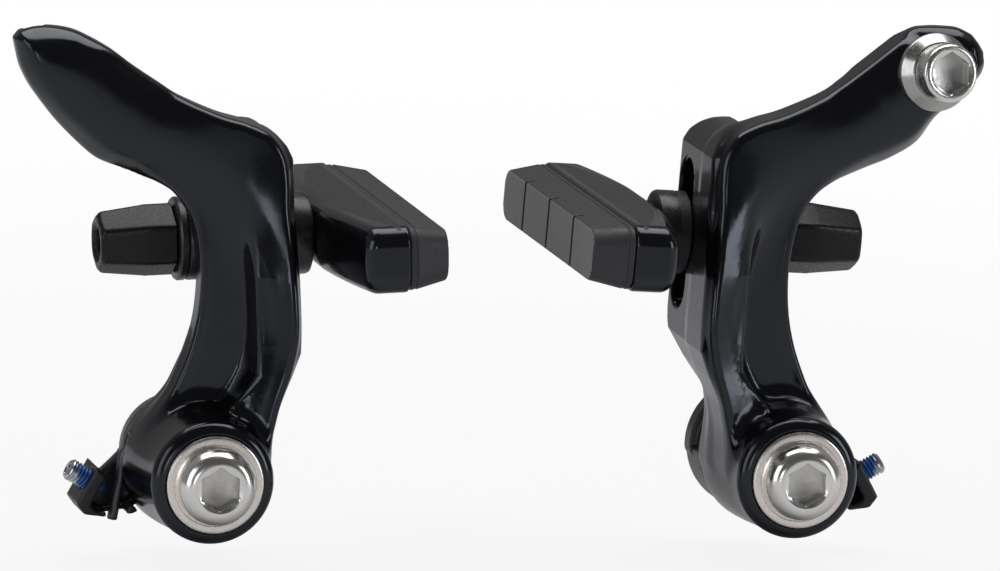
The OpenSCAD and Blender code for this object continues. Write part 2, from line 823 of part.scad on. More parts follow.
// Long nut: a hexagon that tapers to its outer end, with a hex socket there
module pad_nut(side) {
    straight = nut_len * 0.4;
    socket = 3;
    bevel = 0.4;
    color([0.10, 0.10, 0.10])
        on_arm(side)
            at_post()
                translate([nut_x, 0, 0])
                    rotate([0, 90, 0])
                        difference() {
                            union() {
                                cylinder(r1 = nut_w / sqrt(3) - bevel, r2 = nut_w / sqrt(3),
                                         h = straight, $fn = 6);
                                translate([0, 0, straight])
                                    cylinder(r1 = nut_w / sqrt(3), r2 = nut_end_w / sqrt(3),
                                             h = nut_len - straight, $fn = 6);
                            }
                            translate([0, 0, -1]) cylinder(r = thread_r, h = nut_len - socket + 0.6);
                            translate([0, 0, nut_len - socket]) hex_rod(nut_key_w, socket + 1);
                        }
}

post_socket = 5;

module pad_post(side) {
    color([0.12, 0.12, 0.12])
        on_arm(side)
            at_post()
                post_rod(thread_r, holder_back_x - post_socket, nut_x + nut_len - 4.2);
}

// Brake pad

// Outline of holder and pad seen from the rim, centred on the post
module pad_outline(h, corner, x0, x1) {
    translate([0, pad_len / 2 - pad_front, 0])
        side_prism(rounded_box(pad_len, h, corner), x0, x1);
}

// Holder: arched back, flat front against the rubber
module pad_holder(side) {
    sag = holder_t - holder_end_t;
    half = pad_len / 2;
    bow = (half * half + sag * sag) / (2 * sag);
    flat_w = 15;
    rise = bow - sqrt(bow * bow - flat_w * flat_w / 4);
    back_y = pad_len / 2 - pad_front;
    bow_steps = 14;
    color([0.05, 0.05, 0.06])
        on_arm(side)
            at_post()
                difference() {
                    intersection() {
                        pad_outline(holder_h, 2.6, holder_front_x, holder_back_x);
                        translate([0, 0, -holder_h])
                            linear_extrude(height = 2 * holder_h)
                                polygon(concat(
                                    [
                                        for (i = [0:bow_steps])
                                            let (y = half * (2 * i / bow_steps - 1))
                                                [holder_back_x + min(0, rise - bow + sqrt(bow * bow - y * y)),
                                                 back_y + y]
                                    ],
                                    [[holder_front_x - 1, back_y + half],
                                     [holder_front_x - 1, back_y - half]]
                                ));
                    }
                    post_rod(thread_r, holder_back_x - post_socket, holder_back_x + 1);
                }
}

// Rubber: tapers to its face, with three grooves across
module brake_pad(side) {
    half = pad_len / 2;
    back_y = half - pad_front;
    face_x = holder_front_x - pad_t;
    base = 0.9;
    end_slope = 1.6;
    end_r = 2.2;
    color([0.2, 0.2, 0.2])
        on_arm(side)
            at_post()
                difference() {
                    intersection() {
                        pad_outline(pad_h, 2.4, face_x, holder_front_x);
                        translate([0, half + 1 + back_y, 0])
                            rotate([90, 0, 0])
                                linear_extrude(height = pad_len + 2)
                                    polygon([
                                        [holder_front_x, pad_h / 2], [holder_front_x - base, pad_h / 2],
                                        [face_x, face_h / 2], [face_x, -face_h / 2],
                                        [holder_front_x - base, -pad_h / 2],
                                        [holder_front_x, -pad_h / 2]
                                    ]);
                        translate([0, back_y, -pad_h])
                            linear_extrude(height = 2 * pad_h)
                                polygon(concat(
                                    [[holder_front_x, -half], [holder_front_x, half]],
                                    arc([face_x + end_r, half - end_slope - end_r], end_r, 90, 180, 5),
                                    arc([face_x + end_r, -half + end_slope + end_r], end_r, 180, 270, 5)
                                ));
                    }
                    for (i = [-1:1])
                        translate([face_x - 1, back_y + i * pad_len / 4 - groove_w / 2, -pad_h])
                            cube([groove_depth + 1, groove_w, 2 * pad_h]);
                }
}

left_arm();
right_arm();
cable_anchor_bolt();
cable_anchor_washer();

for (s = [-1, 1]) {
    name = s < 0 ? "left_" : "right_";
    pivot_bolt(s);
    pivot_washer(s);
    pivot_bush(s);
    return_spring(s);
    spring_cap(s);
    tension_screw(s);
    dome_washer(s, -1);
    dome_washer(s, 1);
    cup_washer(s, -1, inner_stack);
    cup_washer(s, 1, outer_stack);
    nut_washer(s);
    pad_nut(s);
    pad_post(s);
    pad_holder(s);
    brake_pad(s);
}
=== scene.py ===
"""Cantilever brake: two cast arms with their pivots, springs, pads and cable fixings.

The arms and pads are carved from distance fields, turned and threaded pieces are built
ring by ring. Lengths in the tables are in mm. Points are given as (x, depth, z) on the
right-hand side: x runs outward from the pivot, depth runs to the front, z runs up.
"""
import math

import bmesh
import bpy
import numpy as np
from mathutils import Matrix, Vector


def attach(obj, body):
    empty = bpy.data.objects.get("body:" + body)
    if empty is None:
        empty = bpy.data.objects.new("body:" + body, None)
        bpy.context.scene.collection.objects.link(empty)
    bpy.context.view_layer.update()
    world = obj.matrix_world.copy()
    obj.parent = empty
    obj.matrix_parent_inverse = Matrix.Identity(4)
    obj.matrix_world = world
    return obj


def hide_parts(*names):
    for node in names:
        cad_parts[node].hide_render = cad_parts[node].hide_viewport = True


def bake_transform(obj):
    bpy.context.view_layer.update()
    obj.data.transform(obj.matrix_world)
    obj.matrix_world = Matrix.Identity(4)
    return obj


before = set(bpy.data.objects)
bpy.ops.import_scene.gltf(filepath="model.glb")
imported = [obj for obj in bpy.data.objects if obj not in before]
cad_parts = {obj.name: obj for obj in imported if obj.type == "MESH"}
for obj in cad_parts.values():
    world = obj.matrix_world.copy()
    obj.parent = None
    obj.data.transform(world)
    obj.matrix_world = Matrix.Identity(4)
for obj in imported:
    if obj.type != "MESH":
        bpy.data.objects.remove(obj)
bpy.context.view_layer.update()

MM = 0.001
SIDES = (("left", -1), ("right", 1))

# Sizes that the solids have too
PIVOT_X = 40.0
TILT = math.radians(2.8)
SLOT_Z, POST_D = 29.1, 4.6
RIM_X, PLATE_OUT, PLATE_TOP = -13.3, -7.4, 45.2
SLOT_LEN, SLOT_W = 20.2, 6.6
SWIVEL_X = RIM_X + (PLATE_OUT - RIM_X) / 2
BUSH_R, BUSH_LEN = 5.5, 26.0
BOSS_R, BOSS_REAR_R, BOSS_FRONT = 8.3, 9.2, 26.4
CAP_LEN, CAP_R, WIRE_R = 8.0, 8.6, 0.7
COIL_R, COIL_REAR, COIL_FRONT = 6.3, 1.8, 8.9
COIL_ROOM = 7.15
SPRING_POCKET = COIL_FRONT + WIRE_R + 0.6
WASHER_R, PLATE_HALF, PLATE_CLEARANCE = 5.6, 2.95, 0.05
INNER_STACK, OUTER_STACK = 4.3, 6.8
NUT_WASHER_X = PLATE_OUT + OUTER_STACK
NUT_X = NUT_WASHER_X + 1.2
NUT_LEN, NUT_W, NUT_END_W = 10.4, 8.6, 7.2
HOLDER_BACK = RIM_X - INNER_STACK
HOLDER_FRONT = HOLDER_BACK - 8.6
FACE_X = HOLDER_FRONT - 5.5
PAD_HALF, PAD_MID = 26.5, 3.1
ARM_FRONT, ARM_REAR, ELBOW_REAR = 17.8, 9.5, 10.8
SCOOP, RIDGE_SLOPE, CROWN = 15.4, 2.0, 1.5
ARM_ANGLE = math.radians(41)
ELBOW = np.array([2.0, 42.0])
ELBOW_FLOW = (-4.0, 38.0)
ALONG = np.array([math.cos(ARM_ANGLE), math.sin(ARM_ANGLE)])
ACROSS = np.array([-math.sin(ARM_ANGLE), math.cos(ARM_ANGLE)])
LEFT_REACH, RIGHT_REACH = 27.3, 26.3
ANCHOR_AT = ELBOW + (RIGHT_REACH - 7.5) * ALONG + 0.2 * ACROSS
SEAT_AT = ELBOW + (LEFT_REACH - 9.7) * ALONG - 0.2 * ACROSS
ANCHOR_TILT = math.radians(8)
SCREW_ANGLE = math.radians(29)
SCREW_DIR = np.array([math.cos(SCREW_ANGLE), math.sin(SCREW_ANGLE)])
LEG_TOUCH = np.array([9.4, -4.9])
SCREW_TIP = LEG_TOUCH + (WIRE_R + 0.45) * SCREW_DIR
SCREW_R, SCREW_LEN = 1.5, 6.6
SCREW_SHORT = 0.95  # keeps the point off the spring's leg when the screw is turned in


# Cells of the maps that an arm's curved surfaces are worked out on
MAP_STEP = 0.2
MAP_X, MAP_Z = np.arange(-17, 30, MAP_STEP), np.arange(-12, 66, MAP_STEP)


# Placing: from a side's own coordinates to the frame, in metres

def pivot_world(side, p):
    p = np.asarray(p, float)
    return np.stack([side * (PIVOT_X + p[:, 0]), -p[:, 1], p[:, 2]], 1) * MM


def arm_world(side, p):
    p = np.asarray(p, float)
    c, s = math.cos(TILT), math.sin(TILT)
    x, z = p[:, 0] * c + p[:, 2] * s, p[:, 2] * c - p[:, 0] * s
    return pivot_world(side, np.stack([x, p[:, 1], z], 1))


def on_post(p):
    """Turned pieces on the post: their axis becomes x."""
    return np.stack([p[:, 2], POST_D + p[:, 0], SLOT_Z + p[:, 1]], 1)


def on_pivot(p):
    return np.stack([p[:, 0], p[:, 2], p[:, 1]], 1)


def on_screw(p):
    """Axis along the tension screw, from its tip."""
    across = np.array([-SCREW_DIR[1], SCREW_DIR[0]])
    xz = SCREW_TIP + p[:, 2:3] * SCREW_DIR + p[:, 0:1] * across
    return np.stack([xz[:, 0], COIL_FRONT + p[:, 1], xz[:, 1]], 1)


def anchor_basis():
    """The cable anchor's axis in (x, depth, z), and two directions across it."""
    t = ANCHOR_TILT
    axis = np.array([math.cos(t) * math.sin(t), math.cos(t) * math.cos(t), math.sin(t)])
    side = np.cross([0, 0, 1.0], axis)
    side /= np.linalg.norm(side)
    return axis, side, np.cross(axis, side)


def on_anchor(p):
    axis, u, v = anchor_basis()
    origin = np.array([ANCHOR_AT[0], ARM_FRONT - 0.8, ANCHOR_AT[1]])
    return origin + p[:, 0:1] * u + p[:, 1:2] * v + p[:, 2:3] * axis


# Meshes

def piece(name, points, faces, material, body, node=None, sharp=35, normals=None):
    """A finished piece: points in metres, shaded smooth up to the sharp angle."""
    mesh = bpy.data.meshes.new(name)
    mesh.from_pydata([tuple(p) for p in points], [], [tuple(f) for f in faces])
    mesh.validate()
    work = bmesh.new()
    work.from_mesh(mesh)
    bmesh.ops.recalc_face_normals(work, faces=work.faces)
    work.to_mesh(mesh)
    work.free()
    for poly in mesh.polygons:
        poly.use_smooth = True
    if normals is None:
        mesh.set_sharp_from_angle(angle=math.radians(sharp))
    else:
        mesh.normals_split_custom_set_from_vertices([tuple(n) for n in normals])
    mesh.materials.append(material)
    obj = bpy.data.objects.new(name, mesh)
    bpy.context.scene.collection.objects.link(obj)
    if body:
        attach(obj, body)
    if node:
        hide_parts(node)
    return obj


def rings_mesh(rings, closed=False):
    """Joins rings of points by faces; a ring of one point closes an end."""
    points, faces, starts = [], [], []
    for ring in rings:
        starts.append(len(points))
        points.extend(ring)
    pairs = list(zip(range(len(rings) - 1), range(1, len(rings))))
    if closed:
        pairs.append((len(rings) - 1, 0))
    for i, j in pairs:
        a, b, n, m = starts[i], starts[j], len(rings[i]), len(rings[j])
        for k in range(max(n, m)):
            l = (k + 1) % max(n, m)
            if n == 1:
                faces.append((a, b + k, b + l))
            elif m == 1:
                faces.append((a + k, b, a + l))
            else:
                faces.append((a + k, b + k, b + l, a + l))
    return np.array(points), faces


def hexagon(width, angle, power=40):
    """Radius of a hexagon with that width across its flats, its corners a little rounded."""
    total = sum(np.abs(np.cos(angle - math.radians(60 * k))) ** power for k in range(3))
    return width / 2 * total ** (-1 / power)


def turned(profile, segments=96):
    """Rings of a turned piece. A profile row is radius and place on the axis;
    a radius that is a function of the angle gives hexagons."""
    angle = np.arange(segments) * 2 * math.pi / segments
    rings = []
    for r, w in profile:
        if not callable(r) and r == 0:
            rings.append(np.array([[0.0, 0.0, w]]))
            continue
        radius = r(angle) if callable(r) else np.full(segments, float(r))
        rings.append(np.stack([radius * np.cos(angle), radius * np.sin(angle),
                               np.full(segments, float(w))], 1))
    return rings


def arc(c, r, a0, a1, steps=8):
    return [(c[0] + r * math.cos(math.radians(a0 + (a1 - a0) * i / steps)),
             c[1] + r * math.sin(math.radians(a0 + (a1 - a0) * i / steps)))
            for i in range(steps + 1)]


def threaded(radius, length, pitch, depth, segments=40):
    """Rings of a screw thread from 0 to length; it fades out over the last half turn."""
    angle = np.arange(segments) * 2 * math.pi / segments
    rings = []
    for w in np.arange(0, length + 1e-6, pitch / 8):
        phase = (w / pitch - angle / (2 * math.pi)) % 1
        fade = min(1, w / pitch, (length - w) / pitch)
        cut = depth * fade * (0.5 + 0.5 * np.cos(2 * math.pi * phase))
        rings.append(np.stack([(radius - cut) * np.cos(angle), (radius - cut) * np.sin(angle),
                               np.full(segments, w)], 1))
    return rings


# Distance fields

def polygon_field(points, x, z):
    """Signed distance to a closed outline, less than nothing inside."""
    best, sign = None, 1.0
    for i in range(len(points)):
        (ax, az), (bx, bz) = points[i], points[i - 1]
        ex, ez = bx - ax, bz - az
        wx, wz = x - ax, z - az
        t = np.clip((wx * ex + wz * ez) / (ex * ex + ez * ez), 0, 1)
        d = (wx - ex * t) ** 2 + (wz - ez * t) ** 2
        best = d if best is None else np.minimum(best, d)
        above, below, left = z >= az, z < bz, ex * wz > ez * wx
        sign = np.where((above & below & left) | (~above & ~below & ~left), -sign, sign)
    return sign * np.sqrt(best)


def curve_field(points, x, z):
    """Distance to an open curve, and the number of the nearest place on it."""
    best, where = None, None
    for i in range(len(points) - 1):
        (ax, az), (bx, bz) = points[i], points[i + 1]
        ex, ez = bx - ax, bz - az
        wx, wz = x - ax, z - az
        t = np.clip((wx * ex + wz * ez) / (ex * ex + ez * ez), 0, 1)
        d = (wx - ex * t) ** 2 + (wz - ez * t) ** 2
        if best is None:
            best, where = d, i + t
        else:
            where = np.where(d < best, i + t, where)
            best = np.minimum(best, d)
    return np.sqrt(best), where


def both(a, b, r):
    """What two fields share, its edge rounded by r."""
    return np.minimum(-r, np.maximum(a, b)) + np.hypot(np.maximum(a + r, 0), np.maximum(b + r, 0))


def less(a, b, r):
    return both(a, -b, r)


def join(a, b, k):
    """Two fields together, with a fillet of about k."""
    h = np.maximum(k - np.abs(a - b), 0) / k
    return np.minimum(a, b) - h * h * k / 4


def smooth(t):
    t = np.clip(t, 0, 1)
    return t * t * (3 - 2 * t)


def carve(field, xs, ds, zs, relax=3):
    """Surface of a field over a grid: points, four-sided faces and normals."""
    f = np.broadcast_to(field(xs[:, None, None], ds[None, :, None], zs[None, None, :]),
                        (len(xs), len(ds), len(zs)))
    axes = (xs, ds, zs)
    inside = f < 0
    shape = tuple(n - 1 for n in f.shape)
    total, count = np.zeros(shape + (3,), np.float32), np.zeros(shape, np.float32)
    crossings = []
    for a in range(3):
        lo = [slice(None)] * 3
        hi = [slice(None)] * 3
        lo[a], hi[a] = slice(0, -1), slice(1, None)
        f0, f1 = f[tuple(lo)], f[tuple(hi)]
        cross = inside[tuple(lo)] != inside[tuple(hi)]
        idx = np.argwhere(cross)
        crossings.append((idx, inside[tuple(lo)][cross]))
        t = f0[cross] / (f0[cross] - f1[cross])
        point = np.stack([axes[k][idx[:, k]] for k in range(3)], 1)
        point[:, a] += t * (axes[a][idx[:, a] + 1] - axes[a][idx[:, a]])
        others = [k for k in range(3) if k != a]
        for i in (0, 1):
            for j in (0, 1):
                cell = idx.copy()
                cell[:, others[0]] -= i
                cell[:, others[1]] -= j
                ok = np.all((cell >= 0) & (cell < shape), 1)
                c = tuple(cell[ok].T)
                np.add.at(total, c, point[ok])
                np.add.at(count, c, 1)
    used = count > 0
    number = np.full(shape, -1)
    number[used] = np.arange(used.sum())
    points = (total[used] / count[used][:, None]).astype(float)
    faces = []
    for a, (idx, start) in enumerate(crossings):
        b, c = [k for k in range(3) if k != a]
        quad = []
        for i, j in ((0, 0), (1, 0), (1, 1), (0, 1)):
            cell = idx.copy()
            cell[:, b] -= i
            cell[:, c] -= j
            quad.append(number[tuple(cell.T)])
        quad = np.stack(quad, 1)
        flip = start if a != 1 else ~start
        quad[flip] = quad[flip][:, ::-1]
        faces.append(quad)
    faces = np.concatenate(faces)

    def gradient(p, step=0.02):
        base = field(*p.T)
        g = [(field(*(p + step * np.eye(3)[k]).T) - base) / step for k in range(3)]
        return base, np.stack(g, 1)

    for turn in range(relax + 2):
        if turn < relax:
            near, weight = np.zeros_like(points), np.zeros(len(points))
            for k in range(4):
                i, j = faces[:, k], faces[:, (k + 1) % 4]
                np.add.at(near, i, points[j])
                np.add.at(weight, i, 1)
                np.add.at(near, j, points[i])
                np.add.at(weight, j, 1)
            points = 0.5 * points + 0.5 * near / weight[:, None]
        base, g = gradient(points)
        length = np.maximum((g * g).sum(1), 0.2)
        points = points - np.clip(base / length, -0.3, 0.3)[:, None] * g
    base, g = gradient(points)
    return points, faces, g / np.linalg.norm(g, axis=1)[:, None]


# Arms

# inner x and z, outer x and z, front, rear, share of the ridge in the width
COLUMN = [
    (-8.0, 1, 6.5, 1, 21.5, 12, 0.22), (-9.0, 4.6, 5.6, 4.6, 22, 12, 0.22),
    (-10.2, 9, 4.4, 8.4, 22.2, 12, 0.22), (-11.8, 13.5, 2.6, 11.9, 22.2, 11.7, 0.22),
    (-12.8, 18, 0.7, 16.4, 22.2, 11.2, 0.23), (-12.9, 22.8, -0.5, 21.3, 22.2, 11.2, 0.25),
    (-12.6, 29.2, -0.9, 27, 21.4, 11.2, 0.32), (-12.3, 34.5, -0.2, 32.4, 19.8, 11.2, 0.45),
    (-12.4, 38.5, 0.9, 35.2, 18.6, 11.2, 0.6), (-12, 41.8, 2.6, 37.3, 18, 11, 0.7),
    (-10.4, 44.6, 4.6, 38.6, 17.8, 10.8, 0.75), (-7.4, 46.3, 6.3, 39.3, 17.8, 10.8, 0.76),
    (-3.6, 47.6, 8.1, 40, 17.8, 10.8, 0.76),
]
# distance along the upper arm, its top and lower edge, how far front and rear draw in,
# share of the flat face in the width
LEFT_TIP = [
    (4.6, 6.5, -5.9, 0, 0.74), (8, 6.1, -6.9, 0, 0.76), (12, 5.7, -6.8, 0, 0.8),
    (16, 5.5, -6.3, 0, 0.86), (20, 4.8, -5.4, 0, 0.92), (22, 4.2, -4.8, 0.1, 0.96),
    (24.2, 3.0, -3.8, 0.3, 1), (26, 1.5, -2.5, 0.7, 1), (27.3, -0.2, -1.5, 1.4, 1),
]
RIGHT_TIP = [
    (4.6, 6.5, -5.9, 0, 0.74), (8, 6.1, -6.9, 0, 0.76), (12, 6, -7.3, 0, 0.8),
    (16, 6, -6, 0, 0.88), (20, 5.9, -5.5, 0, 1), (22, 4.9, -5.3, 0.1, 1),
    (24, 3.3, -5.0, 0.3, 1), (25.4, 1.9, -4.2, 0.7, 1), (26.3, 0.2, -2.8, 1.4, 1),
]


def through(rows, per=4):
    """A smooth curve through table rows, with so many points for each row."""
    rows = np.array(rows, float)
    n = len(rows) - 1
    out = []
    for s in np.linspace(0, n, n * per + 1):
        i = min(int(s), n - 1)
        f = s - i
        a, b, c, d = rows[max(i - 1, 0)], rows[i], rows[i + 1], rows[min(i + 2, n)]
        out.append(0.5 * (2 * b + (c - a) * f + (2 * a - 5 * b + 4 * c - d) * f * f
                          + (3 * b - a - 3 * c + d) * f ** 3))
    return np.array(out)


def even_out(values, sigma):
    """Blurs a map, sigma in cells, so that what is cut after it has no creases."""
    reach = int(3 * sigma)
    weight = np.exp(-0.5 * (np.arange(-reach, reach + 1) / sigma) ** 2)
    weight /= weight.sum()
    for axis in (0, 1):
        pads = [(reach, reach) if k == axis else (0, 0) for k in (0, 1)]
        padded = np.pad(values, pads, "edge")
        values = sum(w * np.take(padded, range(i, i + values.shape[axis]), axis)
                     for i, w in enumerate(weight))
    return values


def look_up(maps, x, z):
    """Values of maps over (x, z), between their cells too."""
    gx = np.clip((x - MAP_X[0]) / MAP_STEP, 0, len(MAP_X) - 1.001)
    gz = np.clip((z - MAP_Z[0]) / MAP_STEP, 0, len(MAP_Z) - 1.001)
    i, j = gx.astype(int), gz.astype(int)
    fx, fz = gx - i, gz - j
    return [(m[i, j] * (1 - fx) + m[i + 1, j] * fx) * (1 - fz)
            + (m[i, j + 1] * (1 - fx) + m[i + 1, j + 1] * fx) * fz for m in maps]


def stadium(d, z, radius):
    """Distance to the pad slot's outline, widened to that radius."""
    reach = (SLOT_LEN - SLOT_W) / 2
    dz = z - SLOT_Z
    return np.hypot(d - POST_D, dz - np.clip(dz, -reach, reach)) - radius


def arm_maps(tip):
    """Edge distance, front, rear, edge radius and lip of an arm, as maps over (x, z)."""
    per = 10
    rows = list(COLUMN)
    for along, top, low, draw, share in tip:
        p = ELBOW + along * ALONG
        rear = ELBOW_REAR + (ARM_REAR - ELBOW_REAR) * float(smooth(along / 12))
        rows.append((*(p + top * ACROSS), *(p + low * ACROSS), ARM_FRONT - draw, rear + draw,
                     share))
    table = through(rows, per)
    inner, outer = table[:, 0:2], table[:, 2:4]
    outline = [tuple(p) for p in inner] + [tuple(p) for p in outer[::-1]]
    number = np.arange(len(table))
    x, z = MAP_X[:, None], MAP_Z[None, :]
    edge = polygon_field(outline, x, z)
    across_in, _ = curve_field(inner, x, z)
    across_out, where = curve_field(outer, x, z)
    u = across_in / np.maximum(across_in + across_out, 1e-6)
    front = np.interp(where, number, table[:, 4])
    share = np.interp(where, number, table[:, 6])
    high = smooth((where / per - 8) / 4)
    ridge = front - RIDGE_SLOPE * np.minimum(1, u / share) * (1 - share)
    floor_depth = SCOOP + 0.9 * high
    front = ridge + smooth((u - share) / 0.20) * (floor_depth - ridge)
    crown = CROWN * (2 * u - 1) ** 2 * high
    front = front - crown
    flow = smooth(1.5 - np.hypot(x - ELBOW_FLOW[0], z - ELBOW_FLOW[1]) / 10)
    front = ((1 - flow) * even_out(front, 0.55 / MAP_STEP) + flow * even_out(front, 1.9 / MAP_STEP))
    rear = even_out(np.interp(where, number, table[:, 5]) + 0.5 * crown, 0.6 / MAP_STEP)
    radius = even_out((1 - high) * (1.2 - 0.2 * u) + high * (1.1 + 1.7 * u), 1.2 / MAP_STEP)
    lip = 0.5 * np.exp(-(across_out / 1.1) ** 2) * (1 - smooth((where / per - 6) / 3))
    slope = np.gradient(front, MAP_STEP)
    steep = even_out(np.sqrt(1 + slope[0] ** 2 + slope[1] ** 2), 0.4 / MAP_STEP)
    return edge, front + lip, rear, radius, steep


def arm_field(tip, is_left):
    maps = arm_maps(tip)
    plate_front = [(PLATE_OUT, 13), (-4, 9), (-4, -2), (-6, -2), (-8.4, 4.6), (-9.5, 9),
                   (RIM_X + 1.6, 12.4), (RIM_X, 15.6), (RIM_X, PLATE_TOP - 4),
                   (RIM_X + 0.7, PLATE_TOP - 2.4), (RIM_X + 1.8, PLATE_TOP - 1.2),
                   (RIM_X + 3.1, PLATE_TOP - 0.3), (RIM_X + 4.3, PLATE_TOP + 0.1),
                   (PLATE_OUT, PLATE_TOP + 0.2)]
    plate_side = ([(20.2, -1), (CAP_LEN + 0.4, -1), (CAP_LEN + 0.4, 8)]
                  + arc((5, 18.6), 5, 230, 180, 5)
                  + arc((4.5, PLATE_TOP - 4.5), 4.5, 180, 90)
                  + arc((11.9, PLATE_TOP - 5), 5, 90, 0) + [(17.2, 34), (19.3, 26), (20, 17), (20.2, 10)])
    foot_outline = [(-8.3, 0), (5.4, 5.4), (3.8, 8.6), (2.2, 11.8), (0.6, 15), (-0.6, 17.4),
                    (PLATE_OUT, 18.6), (PLATE_OUT - 2, 14)]
    axis, u_dir, v_dir = anchor_basis()

    def field(x, d, z):
        edge, front, rear, round_r, steep = look_up(maps, x, z)
        slab = np.maximum((d - front) / steep, rear - d)
        body = both(edge, slab, round_r)

        plate = both(polygon_field(plate_front, x, z), polygon_field(plate_side, d, z), 0.7)
        foot = both(polygon_field(foot_outline, x, z),
                    np.maximum(d - 14, CAP_LEN + 0.4 - d), 1.2)
        radius = BOSS_REAR_R + (BOSS_R - BOSS_REAR_R) * smooth((d - CAP_LEN) / 16)
        from_axis = np.hypot(x, z)
        boss = both(from_axis - radius, np.maximum(d - BOSS_FRONT, CAP_LEN - d), 1.7)
        whole = join(join(join(body, foot, 1.6), plate, 1.8), boss, 2.6)

        cut = from_axis - (BUSH_R + 0.03)
        whole = less(whole, cut, 0.15)
        whole = less(whole, np.maximum(from_axis - COIL_ROOM, d - SPRING_POCKET), 0.2)
        whole = less(whole, np.maximum(from_axis - 6.8, BOSS_FRONT - 0.55 - d), 0.35)
        a0, a1 = math.radians(-34), math.radians(26)
        wedge = np.maximum(x * math.sin(a0) - z * math.cos(a0), z * math.cos(a1) - x * math.sin(a1))
        window = np.maximum(np.maximum(wedge, 6.2 - from_axis),
                            np.abs(d - (CAP_LEN + SPRING_POCKET - 0.6) / 2)
                            - (SPRING_POCKET + 1.4 - CAP_LEN) / 2)
        whole = less(whole, window, 0.3)
        whole = less(whole, np.maximum(stadium(d, z, SLOT_W / 2), x - PLATE_OUT - 2), 0.4)
        whole = less(whole, np.maximum(stadium(d, z, WASHER_R + 0.5),
                                       np.maximum(PLATE_OUT + 0.1 - x, x - 14)), 0.2)
        if is_left:
            from_seat = np.hypot(x - SEAT_AT[0], z - SEAT_AT[1])
            seat = np.maximum(from_seat - 3.1, d - ARM_REAR - 4.8)
            turn = ARM_ANGLE + math.radians(10)
            along = (x - SEAT_AT[0]) * math.cos(turn) + (z - SEAT_AT[1]) * math.sin(turn)
            off = (z - SEAT_AT[1]) * math.cos(turn) - (x - SEAT_AT[0]) * math.sin(turn)
            slot = np.maximum(np.maximum(np.abs(off) - 1, -along), d - ARM_REAR - 3.6)
            whole = less(whole, np.maximum(from_seat - 4.3, d - ARM_REAR - 0.25), 0.1)
            whole = less(less(whole, seat, 0.3), slot, 0.3)
        else:
            px, pd, pz = x - ANCHOR_AT[0], d - (ARM_FRONT - 0.8), z - ANCHOR_AT[1]
            w = px * axis[0] + pd * axis[1] + pz * axis[2]
            a = px * u_dir[0] + pd * u_dir[1] + pz * u_dir[2]
            b = px * v_dir[0] + pd * v_dir[1] + pz * v_dir[2]
            from_bolt = np.hypot(a, b)
            whole = less(whole, np.maximum(from_bolt - 5.85, -w), 0.35)
            whole = less(whole, from_bolt - 2.6, 0.3)
        return whole

    return field


# Materials

def material(name, color, rough=0.4, metal=0.0, spec=0.5):
    mat = bpy.data.materials.new(name)
    mat.use_nodes = True
    shader = mat.node_tree.nodes["Principled BSDF"]
    shader.inputs["Base Color"].default_value = (*color, 1)
    shader.inputs["Roughness"].default_value = rough
    shader.inputs["Metallic"].default_value = metal
    shader.inputs["Specular IOR Level"].default_value = spec
    return mat, mat.node_tree, shader


def noise(tree, scale, detail=2.0, rough=0.5):
    coords = tree.nodes.new("ShaderNodeTexCoord")
    node = tree.nodes.new("ShaderNodeTexNoise")
    node.inputs["Scale"].default_value = scale
    node.inputs["Detail"].default_value = detail
    node.inputs["Roughness"].default_value = rough
    tree.links.new(coords.outputs["Object"], node.inputs["Vector"])
    return node


def ramp(tree, source, stops):
    node = tree.nodes.new("ShaderNodeValToRGB")
    while len(node.color_ramp.elements) < len(stops):
        node.color_ramp.elements.new(0.5)
    for element, (at, value) in zip(node.color_ramp.elements, stops):
        element.position = at
        element.color = (*value, 1) if isinstance(value, tuple) else (value, value, value, 1)
    tree.links.new(source, node.inputs["Fac"])
    return node.outputs["Color"]


def bump(tree, shader, height, strength, distance):
    node = tree.nodes.new("ShaderNodeBump")
    node.inputs["Strength"].default_value = strength
    node.inputs["Distance"].default_value = distance
    tree.links.new(height, node.inputs["Height"])
    tree.links.new(node.outputs["Normal"], shader.inputs["Normal"])


def paint(name, color, low, high, peel=0.25):
    """Gloss paint with a faint orange peel and an uneven polish."""
    mat, tree, shader = material(name, color, spec=0.6)
    shader.inputs["Specular Tint"].default_value = (0.86, 0.91, 1.0, 1)
    wide = noise(tree, 160, 3)
    tree.links.new(ramp(tree, wide.outputs["Fac"], [(0.3, low), (0.7, high)]),
                   shader.inputs["Roughness"])
    bump(tree, shader, noise(tree, 900, 2).outputs["Fac"], peel, 0.00003)
    return mat


def rough_metal(name, color, low, high, grain, depth, metal=0.0, spec=0.5):
    """Blackened or plated steel with grain that shows as small sparkles."""
    mat, tree, shader = material(name, color, metal=metal, spec=spec)
    fine = noise(tree, grain, 4, 0.7)
    tree.links.new(ramp(tree, fine.outputs["Fac"], [(0.35, low), (0.65, high)]),
                   shader.inputs["Roughness"])
    bump(tree, shader, fine.outputs["Fac"], 0.6, depth)
    return mat


